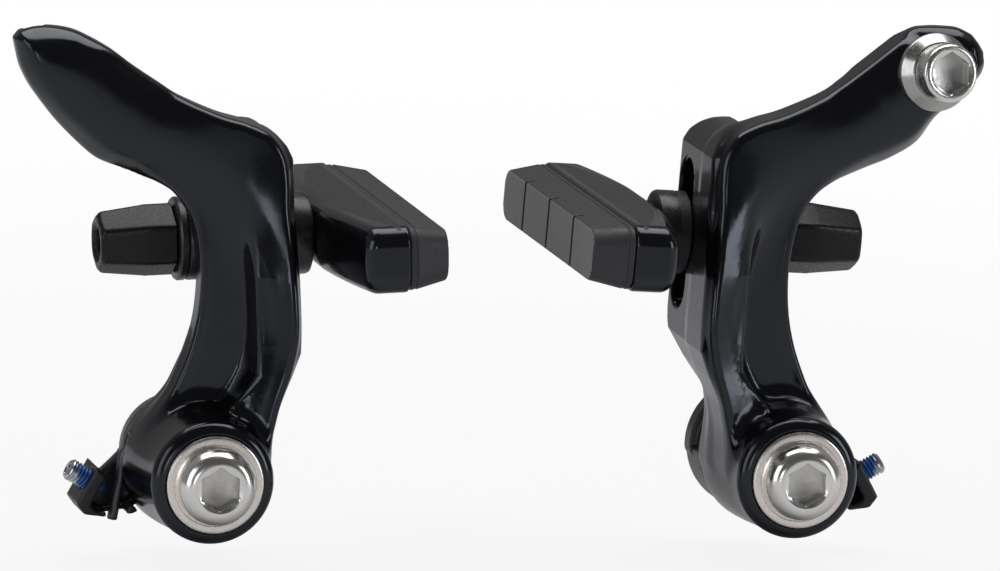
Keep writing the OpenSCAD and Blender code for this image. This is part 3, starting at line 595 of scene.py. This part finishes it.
def turned_metal(name, color, low, high, lines=9000.0):
    """Polished steel with the fine rings of a lathe round the pivot axes."""
    mat, tree, shader = material(name, color, metal=1.0)
    coords = tree.nodes.new("ShaderNodeTexCoord")
    split = tree.nodes.new("ShaderNodeSeparateXYZ")
    tree.links.new(coords.outputs["Object"], split.inputs[0])

    def maths(kind, a, b=None):
        node = tree.nodes.new("ShaderNodeMath")
        node.operation = kind
        for socket, value in zip(node.inputs, (a, b)):
            if value is None:
                continue
            if isinstance(value, (int, float)):
                socket.default_value = value
            else:
                tree.links.new(value, socket)
        return node.outputs[0]

    x = maths("SUBTRACT", maths("ABSOLUTE", split.outputs["X"]), PIVOT_X * MM)
    z = split.outputs["Z"]
    radius = maths("SQRT", maths("ADD", maths("MULTIPLY", x, x), maths("MULTIPLY", z, z)))
    rings = maths("SINE", maths("MULTIPLY", radius, lines * 2))
    fine = noise(tree, 600, 3)
    tree.links.new(ramp(tree, fine.outputs["Fac"], [(0.3, low), (0.7, high)]),
                   shader.inputs["Roughness"])
    bump(tree, shader, rings, 0.08, 0.00001)
    return mat


GLOSS = paint("gloss_black_paint", (0.004, 0.004, 0.005), 0.13, 0.2)
HOLDER = paint("holder_gloss_black", (0.004, 0.004, 0.005), 0.12, 0.2, 0.2)
HOLDER_TOP = rough_metal("holder_satin_black", (0.03, 0.03, 0.032), 0.3, 0.5, 2500, 0.00003, spec=0.3)
POLISHED = turned_metal("polished_nickel", (0.93, 0.91, 0.88), 0.16, 0.26)
RING = turned_metal("turned_nickel_ring", (0.97, 0.91, 0.85), 0.22, 0.32)
# duller broached steel, its colour also darkened as painted shade inside the hex sockets
SOCKET_STEEL_AND_SHADE = rough_metal("broached_socket_painted_shade", (0.72, 0.7, 0.67), 0.3, 0.5, 1400, 0.00003, 1.0)
BUSH = rough_metal("bush_steel", (0.62, 0.60, 0.57), 0.25, 0.4, 1500, 0.00001, 1.0)
NUT = rough_metal("satin_black_steel", (0.008, 0.008, 0.009), 0.2, 0.42, 3000, 0.00002, spec=0.28)
CAST = rough_metal("rough_black_washer", (0.03, 0.03, 0.032), 0.3, 0.6, 1800, 0.00012)
WASHER = rough_metal("black_washer", (0.02, 0.02, 0.022), 0.22, 0.38, 1200, 0.00002)
SPRING = rough_metal("dark_spring_wire", (0.10, 0.10, 0.11), 0.25, 0.4, 2000, 0.00001, 0.7)
PLASTIC = rough_metal("black_plastic", (0.016, 0.016, 0.017), 0.3, 0.42, 1500, 0.00001)
# pale grey for the worn braking face, made lighter still as painted light that the lamps do not give it
FACE_WEAR_AND_LIGHT = rough_metal("worn_rubber_face_painted_light", (0.22, 0.22, 0.22), 0.75, 0.9, 2600, 0.00004)
RUBBER = rough_metal("charcoal_rubber", (0.038, 0.038, 0.042), 0.42, 0.6, 1500, 0.00002)


def screw_material():
    """Zinc plate with a patch of blue thread locker in the middle of the screw."""
    mat, tree, shader = material("zinc_screw", (0.62, 0.64, 0.66), 0.25, 1.0)
    coords = tree.nodes.new("ShaderNodeTexCoord")
    split = tree.nodes.new("ShaderNodeSeparateXYZ")
    tree.links.new(coords.outputs["Object"], split.inputs[0])
    size = tree.nodes.new("ShaderNodeMath")
    size.operation = "ABSOLUTE"
    tree.links.new(split.outputs["X"], size.inputs[0])
    wobble = noise(tree, 500, 3)
    mix = tree.nodes.new("ShaderNodeMath")
    mix.operation = "MULTIPLY_ADD"
    mix.inputs[1].default_value = 0.0012
    tree.links.new(wobble.outputs["Fac"], mix.inputs[0])
    tree.links.new(size.outputs[0], mix.inputs[2])
    span = tree.nodes.new("ShaderNodeMapRange")
    span.inputs["From Min"].default_value = 0.0500
    span.inputs["From Max"].default_value = 0.0575
    tree.links.new(mix.outputs[0], span.inputs["Value"])
    mask = ramp(tree, span.outputs[0], [(0.1, 0.0), (0.16, 1.0), (0.72, 1.0), (0.8, 0.0)])
    color = tree.nodes.new("ShaderNodeMix")
    color.data_type = "RGBA"
    color.inputs["A"].default_value = (0.62, 0.64, 0.66, 1)
    color.inputs["B"].default_value = (0.03, 0.12, 0.42, 1)
    tree.links.new(mask, color.inputs["Factor"])
    tree.links.new(color.outputs["Result"], shader.inputs["Base Color"])
    tree.links.new(ramp(tree, mask, [(0.0, 1.0), (1.0, 0.15)]), shader.inputs["Metallic"])
    tree.links.new(ramp(tree, mask, [(0.0, 0.22), (1.0, 0.4)]), shader.inputs["Roughness"])
    return mat


ZINC = screw_material()


# Pieces

def add_arm(name, side):
    tip = LEFT_TIP if side < 0 else RIGHT_TIP
    field = arm_field(tip, side < 0)
    step = 0.38
    points, faces, normals = carve(field, np.arange(-14.2, 27, step), np.arange(-0.8, 28, step),
                                   np.arange(-10.4, 64, step))
    rot = arm_world(side, points + normals) - arm_world(side, points)
    piece(name + "_arm_cast", arm_world(side, points), faces, GLOSS, name + "_arm",
          name + "_arm", normals=rot / np.linalg.norm(rot, axis=1)[:, None])
    lip = ([(6.62, BOSS_FRONT - 0.6), (6.62, BOSS_FRONT - 0.15), (6.68, BOSS_FRONT - 0.02)]
           + arc((6.6, BOSS_FRONT - 1.7), 1.73, 84, 50, 6) + [(7.5, BOSS_FRONT - 0.8)])
    add_turned(name + "_boss_lip", turned(lip, 144), on_pivot, pivot_world, side, GLOSS,
               name + "_arm", None, closed=True, sharp=50)


def add_turned(name, rings, place, world, side, mat, body, node, closed=False, sharp=30):
    points, faces = rings_mesh(rings, closed)
    return piece(name, world(side, place(points)), faces, mat, body, node, sharp)


def hex_fn(width, grow=0.0, power=60):
    return lambda angle: hexagon(width, angle, power) + grow


def paint_socket_shade(head, radius, height, top):
    """Gives the walls and floor of a hex socket a duller, darker steel: duller like broached steel, and
    darker as painted shade in the recess.
    """
    head.data.materials.append(SOCKET_STEEL_AND_SHADE)
    for face in head.data.polygons:
        if radius(face.center) < 2.95 and height(face.center) > top - 3:
            face.material_index = int(height(face.center) < top - 0.2)


def add_pivot(name, side):
    seat = BUSH_LEN + 1
    top = seat + 3.3
    dome = [(5.25 - 1.95 * (1 - math.cos(a)), seat + 0.6 + 2.7 * math.sin(a))
            for a in np.radians(np.linspace(0, 90, 15))]
    bolt = ([(0, 10), (2.7, 10), (3, 10.3), (3, 26), (3.4, 26), (3.4, seat), (5.1, seat),
             (5.25, seat + 0.15)] + dome
            + [(3.1, top), (2.98, top - 0.05), (hex_fn(5, 0.04), top - 0.16),
               (hex_fn(5), top - 0.24), (hex_fn(5), top - 2.2), (1.7, top - 2.25),
               (0, top - 2.75)])
    head = add_turned(name + "_bolt_polished", turned(bolt, 144), on_pivot, pivot_world, side,
                      POLISHED, "fork_side", name + "_pivot_bolt")
    paint_socket_shade(head, lambda c: np.hypot(abs(c.x) / MM - PIVOT_X, c.z / MM),
                  lambda c: -c.y / MM, top)
    ring = [(3.5, 26), (6.45, 26), (6.55, 26.1), (6.55, 26.72), (6.5, 26.86), (6.34, 26.98),
            (6.2, 27), (5.62, 27), (5.5, 26.9), (5.3, 26.9), (5.2, 27), (3.5, 27)]
    add_turned(name + "_washer_ring", turned(ring, 144), on_pivot, pivot_world, side, RING,
               "fork_side", name + "_pivot_washer", closed=True)


def add_clamp(name, side):
    """Dome and cup washers, flat washer and nut, from the plate outward and to the rim."""
    for label, direction, edge, stack in (("inner", -1, 1.5, INNER_STACK),
                                          ("outer", 1, 3.2, OUTER_STACK)):
        ball = math.hypot(PLATE_HALF + edge, WASHER_R)
        hole = 3.8
        a0 = math.degrees(math.acos(WASHER_R / ball))
        a1 = math.degrees(math.acos(hole / ball))
        flat = PLATE_HALF + PLATE_CLEARANCE
        dome = [(hole, flat), (WASHER_R - 0.15, flat), (WASHER_R, flat + 0.12)]
        dome += arc((0, 0), ball, a0 + 1, a1, 8)
        place = (lambda p, k=direction: on_post(
            np.stack([p[:, 0], p[:, 1], SWIVEL_X + k * p[:, 2]], 1)))
        add_turned("%s_%s_dome" % (name, label), turned(dome), place, arm_world, side, CAST,
                   name + "_clamp", "%s_%s_dome_washer" % (name, label), True)
        ball += 0.08
        a0 = math.degrees(math.acos(WASHER_R / ball))
        a1 = math.degrees(math.acos(3.1 / ball))
        back = PLATE_HALF + stack
        cup = arc((0, 0), ball, a1, a0, 8)
        cup += [(WASHER_R, cup[-1][1] + 0.1), (WASHER_R, back - 0.5),
                (WASHER_R - 0.15, back - 0.15), (WASHER_R - 0.5, back), (3.1, back)]
        add_turned("%s_%s_cup" % (name, label), turned(cup), place, arm_world, side, WASHER,
                   name + "_tilt", "%s_%s_cup_washer" % (name, label), True)
    flat = [(3.1, NUT_WASHER_X), (WASHER_R - 0.15, NUT_WASHER_X), (WASHER_R, NUT_WASHER_X + 0.15),
            (WASHER_R, NUT_X - 0.3), (WASHER_R - 0.2, NUT_X - 0.05), (5.2, NUT_X), (3.1, NUT_X)]
    add_turned(name + "_flat_washer", turned(flat), on_post, arm_world, side, WASHER,
               name + "_tilt", name + "_nut_washer", True)

    straight, end = NUT_X + NUT_LEN * 0.4, NUT_X + NUT_LEN
    nut = [(3.0, NUT_X), (hex_fn(NUT_W - 0.9), NUT_X), (hex_fn(NUT_W, 0, 30), NUT_X + 0.35),
           (hex_fn(NUT_W, 0, 30), straight - 0.12), (hex_fn(NUT_W - 0.06, 0, 26), straight),
           (hex_fn(NUT_END_W + 0.25, 0, 20), end - 0.7), (hex_fn(NUT_END_W, 0, 16), end - 0.4),
           (hex_fn(NUT_END_W - 0.5, 0, 10), end - 0.08), (hex_fn(NUT_END_W - 0.9, 0, 6), end),
           (2.75, end), (2.55, end - 0.1), (hex_fn(4, 0.04), end - 0.45), (hex_fn(4), end - 0.6),
           (hex_fn(4), end - 3), (3.0, end - 3.4)]
    add_turned(name + "_nut_long", turned(nut, 120), on_post, arm_world, side, NUT,
               name + "_pad", name + "_pad_nut", closed=True)


def spring_route():
    """Leg along the pivot, four turns, and the leg that runs out and down to the screw."""
    full, lag, turns = 360.0, 14.0, 4
    points = []
    for y in (4, 2.7, 1.3, 0, -(COIL_REAR - 1.1), -(COIL_REAR - 0.4)):
        a = math.radians(-full * turns - lag)
        points.append((COIL_R * math.cos(a), -y, COIL_R * math.sin(a)))
    for a in np.linspace(-full * turns, 0, turns * 40 + 1):
        share = (a + full * turns) / (full * turns)
        points.append((COIL_R * math.cos(math.radians(a)),
                       COIL_REAR + (COIL_FRONT - COIL_REAR) * share,
                       COIL_R * math.sin(math.radians(a))))
    leg = through([(COIL_R, 0), (COIL_R + 0.25, 0.95), (COIL_R + 1.1, 1.5), (COIL_R + 2.1, 1.0),
                   (8.8, -0.8), (9.0, -2.6), (9.4, -4.9), (9.9, -8.0)], 5)[1:]
    points += [(p[0], COIL_FRONT, p[1]) for p in leg]
    return np.array(points)


def add_spring(name, side):
    route = spring_route()
    tangent = np.gradient(route, axis=0)
    tangent /= np.linalg.norm(tangent, axis=1)[:, None]
    segments = 16
    angle = np.arange(segments) * 2 * math.pi / segments
    up = np.cross(tangent[0], [1.0, 0, 0])
    rings = [route[:1]]
    for i, (p, t) in enumerate(zip(route, tangent)):
        up = up - (up @ t) * t
        up /= np.linalg.norm(up)
        other = np.cross(t, up)
        ring = (np.cos(angle)[:, None] * up + np.sin(angle)[:, None] * other) * WIRE_R
        if i == len(route) - 1:
            rings.append(p + ring)
            rings.append(p + t * 0.15 + ring * 0.8)
        elif i == 0:
            rings.append(p + ring * 0.8)
            rings.append(p + t * 0.15 + ring)
        else:
            rings.append(p + ring)
    rings.append(route[-1:] + tangent[-1] * 0.15)
    points, faces = rings_mesh(rings)
    obj = piece(name + "_spring_wire", pivot_world(side, points), faces, SPRING, None,
                name + "_return_spring", 60)
    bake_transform(obj)


def add_screw(name, side):
    rings = turned([(0, SCREW_SHORT), (SCREW_R - 0.9, SCREW_SHORT)], 40)
    for ring in threaded(SCREW_R, SCREW_LEN - 0.35 - SCREW_SHORT, 0.5, 0.24):
        ring[:, :2] *= min(1.0, (SCREW_R - 0.9 + ring[0, 2]) / SCREW_R)
        rings.append(ring + np.array([0, 0, SCREW_SHORT + 0.02]))
    rings += turned([(SCREW_R - 0.35, SCREW_LEN), (hex_fn(1.5, 0.08), SCREW_LEN),
                     (hex_fn(1.5), SCREW_LEN - 0.15), (hex_fn(1.5), SCREW_LEN - 2),
                     (0, SCREW_LEN - 2.2)], 40)
    add_turned(name + "_grub_screw", rings, on_screw, pivot_world, side, ZINC, name + "_screw",
               name + "_tension_screw", sharp=50)


def add_pad(name, side):
    sag = 3.1
    bow = (PAD_HALF ** 2 + sag ** 2) / (2 * sag)
    rise = bow - math.sqrt(bow ** 2 - 7.5 ** 2)

    def box2(d, z, half_d, half_z, corner):
        qd, qz = np.abs(d - PAD_MID) - half_d + corner, np.abs(z - SLOT_Z) - half_z + corner
        return (np.hypot(np.maximum(qd, 0), np.maximum(qz, 0))
                + np.minimum(np.maximum(qd, qz), 0) - corner)

    def holder(x, d, z):
        arch = np.minimum(0, rise - bow + np.sqrt(bow ** 2 - np.clip(d - PAD_MID, -27, 27) ** 2))
        back = HOLDER_BACK + arch - 0.9 * (np.abs(z - SLOT_Z) / 4.5) ** 2.5
        shell = both(box2(d, z, PAD_HALF, 4.5, 2.6), x - back, 1.3)
        return less(both(shell, HOLDER_FRONT - x, 0.45),
                    np.hypot(d - POST_D, z - SLOT_Z) - 3.0, 0.2)

    def rubber(x, d, z):
        down = np.clip((HOLDER_FRONT - 0.9 - x) / 4.6, 0, 1.2)
        side_wall = box2(d, z, PAD_HALF - 0.25 - 1.5 * down, 4.25 - 0.8 * down, 2.5)
        seam = 0.2 * np.exp(-((x - HOLDER_FRONT + 0.85) / 0.14) ** 2)
        block = both(side_wall + seam, np.maximum(FACE_X - x, x - HOLDER_FRONT), 0.3)
        for k in (-1, 0, 1):
            groove = np.maximum(np.abs(d - PAD_MID - k * PAD_HALF / 2) - 0.3, x - FACE_X - 1.4)
            block = less(block, groove, 0.1)
        return block

    d_grid = np.arange(PAD_MID - PAD_HALF - 0.6, PAD_MID + PAD_HALF + 0.7, 0.36)
    z_grid = np.arange(SLOT_Z - 5.2, SLOT_Z + 5.3, 0.3)
    points, faces, normals = carve(holder, np.arange(HOLDER_FRONT - 0.6, HOLDER_BACK + 0.7, 0.3),
                                   d_grid, z_grid)
    rot = arm_world(side, points + normals) - arm_world(side, points)
    shell = piece(name + "_pad_shell", arm_world(side, points), faces, HOLDER, name + "_pad",
                  name + "_pad_holder",
                  normals=rot / np.linalg.norm(rot, axis=1)[:, None])
    shell.data.materials.append(HOLDER_TOP)
    top_faces = np.array([normals[f, 2].mean() > 0.8
                          and HOLDER_FRONT + 1.1 < points[f, 0].mean()
                          < HOLDER_BACK - 1.6 - 0.0085 * (points[f, 1].mean() - PAD_MID) ** 2
                          for f in faces])
    shell.data.polygons.foreach_set("material_index", top_faces.astype(np.int32))

    grooves = [PAD_MID + k * PAD_HALF / 2 for k in (-1, 0, 1)]
    d_grid = d_grid[[min(abs(d - g) for g in grooves) > 0.75 for d in d_grid]]
    d_grid = np.sort(np.concatenate([d_grid] + [np.linspace(g - 0.7, g + 0.7, 15)
                                                for g in grooves]))
    seam_x = HOLDER_FRONT - 0.85
    x_grid = np.concatenate([np.arange(FACE_X - 0.4, seam_x - 0.4, 0.2),
                             np.arange(seam_x - 0.35, seam_x + 0.36, 0.07),
                             np.arange(seam_x + 0.5, HOLDER_FRONT + 0.5, 0.25)])
    points, faces, normals = carve(rubber, x_grid, d_grid, z_grid, relax=0)
    rot = arm_world(side, points + normals) - arm_world(side, points)
    block = piece(name + "_pad_rubber", arm_world(side, points), faces, RUBBER, name + "_pad",
                  name + "_brake_pad",
                  normals=rot / np.linalg.norm(rot, axis=1)[:, None])
    block.data.materials.append(FACE_WEAR_AND_LIGHT)
    # the braking face gets the pale worn rubber, its brightness partly painted light
    worn_and_lit = np.array([normals[f, 0].mean() < -0.8 and points[f, 0].mean() < FACE_X + 0.25
                     for f in faces])
    block.data.polygons.foreach_set("material_index", worn_and_lit.astype(np.int32))


def add_anchor():
    hole, r, head, washer_h, head_h = 2.6, 5.25, 3.9, 2.6, 3.2
    washer = [(hole, 0), (r - 0.3, 0), (r, 0.3), (r, 0.85), (r - 0.08, 1.0), (r - 0.2, 1.1),
              (head + 0.28, washer_h - 0.12), (head + 0.16, washer_h - 0.02),
              (head + 0.05, washer_h), (hole, washer_h)]
    add_turned("anchor_cone_washer", turned(washer, 120), on_anchor, arm_world, 1, CONE,
               "right_arm", "cable_anchor_washer", closed=True)
    top = washer_h + head_h
    bolt = ([(0, -9), (2.1, -9), (2.5, -8.6), (2.5, washer_h), (head - 0.2, washer_h),
             (head, washer_h + 0.2)] + arc((head - 0.55, top - 0.55), 0.55, 0, 90, 6)
            + [(3.08, top), (2.98, top - 0.05), (hex_fn(5, 0.03), top - 0.16),
               (hex_fn(5), top - 0.24), (hex_fn(5), top - 2.0), (1.7, top - 2.05),
               (0, top - 2.5)])
    head = add_turned("anchor_bolt_head", turned(bolt, 120), on_anchor, arm_world, 1, BRIGHT,
                      "right_arm", "cable_anchor_bolt")
    ends = arm_world(1, on_anchor(np.array([[0, 0, 0], [0, 0, 1.0]])))
    foot, axis = Vector(ends[0]), Vector(ends[1] - ends[0]).normalized()
    paint_socket_shade(head, lambda c: ((c - foot) - (c - foot).dot(axis) * axis).length / MM,
                  lambda c: (c - foot).dot(axis) / MM, top)


CONE = rough_metal("anchor_cone_nickel", (0.5, 0.49, 0.47), 0.16, 0.28, 1200, 0.000006, 1.0)
BRIGHT = rough_metal("anchor_nickel", (0.9, 0.89, 0.86), 0.18, 0.3, 1200, 0.000004, 1.0)

for side_name, sign in SIDES:
    add_arm(side_name, sign)
    add_pivot(side_name, sign)
    add_clamp(side_name, sign)
    add_spring(side_name, sign)
    add_screw(side_name, sign)
    add_pad(side_name, sign)
    for node, mat in (("_pivot_bush", BUSH), ("_spring_cap", PLASTIC), ("_pad_post", NUT)):
        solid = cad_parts[side_name + node]
        for place in solid.material_slots:
            place.material = mat
        if node == "_spring_cap":
            skin = solid.modifiers.new("skin", "REMESH")
            skin.mode, skin.voxel_size, skin.use_smooth_shade = "VOXEL", 0.22 * MM, True
            rounding = solid.modifiers.new("rounding", "SMOOTH")
            rounding.factor, rounding.iterations = 0.5, 6
add_anchor()


# Camera, light and floor

AZIMUTH, ELEVATION, ROLL = math.radians(-14.2), math.radians(10.2), math.radians(2.34)
DISTANCE, SCALE = 1490.0, 7.54
back = Vector((math.sin(AZIMUTH) * math.cos(ELEVATION), -math.cos(AZIMUTH) * math.cos(ELEVATION),
               math.sin(ELEVATION)))
right = Vector((math.cos(AZIMUTH), math.sin(AZIMUTH), 0))
up = back.cross(right)
target = Vector((0, -27, 0)) - 2.43 * right + 26.13 * up
turn = Matrix((right, up, back)).transposed().to_4x4() @ Matrix.Rotation(ROLL, 4, "Z")
camera = bpy.data.objects.new("camera", bpy.data.cameras.new("camera"))
camera.data.sensor_width = 36
camera.data.lens = 36 * DISTANCE * SCALE / 1000
camera.data.clip_start, camera.data.clip_end = 0.05, 20
camera.matrix_world = Matrix.Translation((target + back * DISTANCE) * MM) @ turn
bpy.context.scene.collection.objects.link(camera)
bpy.context.scene.camera = camera


def softbox(name, at, aim, size, radiance, color=(1, 1, 1)):
    """An area lamp, its brightness given as what it would show in a mirror."""
    data = bpy.data.lights.new(name, "AREA")
    data.shape = "RECTANGLE"
    data.size, data.size_y = size
    data.energy = radiance * math.pi * size[0] * size[1]
    data.color = color
    obj = bpy.data.objects.new(name, data)
    obj.location = at
    obj.rotation_euler = (Vector(aim) - Vector(at)).to_track_quat("-Z", "Y").to_euler()
    bpy.context.scene.collection.objects.link(obj)


middle = (0, -0.02, 0.025)
softbox("lamp_top", (0.05, 0.12, 0.62), middle, (0.8, 0.4), 3.0)
softbox("lamp_left", (-0.72, -0.3, 0.2), middle, (0.4, 0.6), 1.7, (0.94, 0.96, 1))
softbox("lamp_right", (0.72, -0.5, 0.1), middle, (0.26, 0.6), 3.6, (0.9, 0.94, 1))
softbox("lamp_low", (-0.3, -0.8, 0.06), middle, (0.2, 0.16), 3.0, (0.92, 0.95, 1))

world = bpy.data.worlds.new("studio")
bpy.context.scene.world = world
world.use_nodes = True
nodes, links = world.node_tree.nodes, world.node_tree.links
nodes.clear()
path = nodes.new("ShaderNodeLightPath")
coords = nodes.new("ShaderNodeTexCoord")
parts = nodes.new("ShaderNodeSeparateXYZ")
links.new(coords.outputs["Generated"], parts.inputs[0])
shade = nodes.new("ShaderNodeMapRange")
shade.interpolation_type = "SMOOTHSTEP"
for socket, value in (("From Min", -0.35), ("From Max", 0.55), ("To Min", 0.07), ("To Max", 0.2)):
    shade.inputs[socket].default_value = value
links.new(parts.outputs["Y"], shade.inputs["Value"])
level = nodes.new("ShaderNodeMix")
links.new(path.outputs["Is Camera Ray"], level.inputs["Factor"])
links.new(shade.outputs[0], level.inputs["A"])
level.inputs["B"].default_value = 1.0
sky = nodes.new("ShaderNodeBackground")
sky.inputs["Color"].default_value = (1, 1, 1, 1)
links.new(level.outputs["Result"], sky.inputs["Strength"])
out = nodes.new("ShaderNodeOutputWorld")
links.new(sky.outputs[0], out.inputs["Surface"])

floor_mesh = bpy.data.meshes.new("floor")
half, floor_z = 3.0, -0.0135
floor_mesh.from_pydata([(-half, -half, floor_z), (half, -half, floor_z), (half, half, floor_z),
                        (-half, half, floor_z)], [], [(0, 1, 2, 3)])
floor = bpy.data.objects.new("floor", floor_mesh)
bpy.context.scene.collection.objects.link(floor)
floor_mat, floor_tree, floor_shader = material("pale_floor", (0.74, 0.74, 0.75), 0.9, spec=0.1)
glow = floor_tree.nodes.new("ShaderNodeEmission")
glow.inputs["Strength"].default_value = 1.0
blend = floor_tree.nodes.new("ShaderNodeMixShader")
seen = floor_tree.nodes.new("ShaderNodeLightPath")
part = floor_tree.nodes.new("ShaderNodeMath")
part.operation = "MULTIPLY"
place = floor_tree.nodes.new("ShaderNodeTexCoord")
reach = floor_tree.nodes.new("ShaderNodeVectorMath")
reach.operation = "LENGTH"
fade = floor_tree.nodes.new("ShaderNodeMapRange")
fade.interpolation_type = "SMOOTHSTEP"
for socket, value in (("From Min", 0.08), ("From Max", 0.4), ("To Min", 0.88), ("To Max", 1.0)):
    fade.inputs[socket].default_value = value
floor_tree.links.new(place.outputs["Object"], reach.inputs[0])
floor_tree.links.new(reach.outputs["Value"], fade.inputs["Value"])
floor_tree.links.new(fade.outputs[0], part.inputs[1])
floor_out = floor_tree.nodes["Material Output"]
floor_tree.links.new(seen.outputs["Is Camera Ray"], part.inputs[0])
floor_tree.links.new(part.outputs[0], blend.inputs[0])
floor_tree.links.new(floor_shader.outputs[0], blend.inputs[1])
floor_tree.links.new(glow.outputs[0], blend.inputs[2])
floor_tree.links.new(blend.outputs[0], floor_out.inputs["Surface"])
floor_mesh.materials.append(floor_mat)

bpy.context.scene.view_settings.view_transform = "Standard"
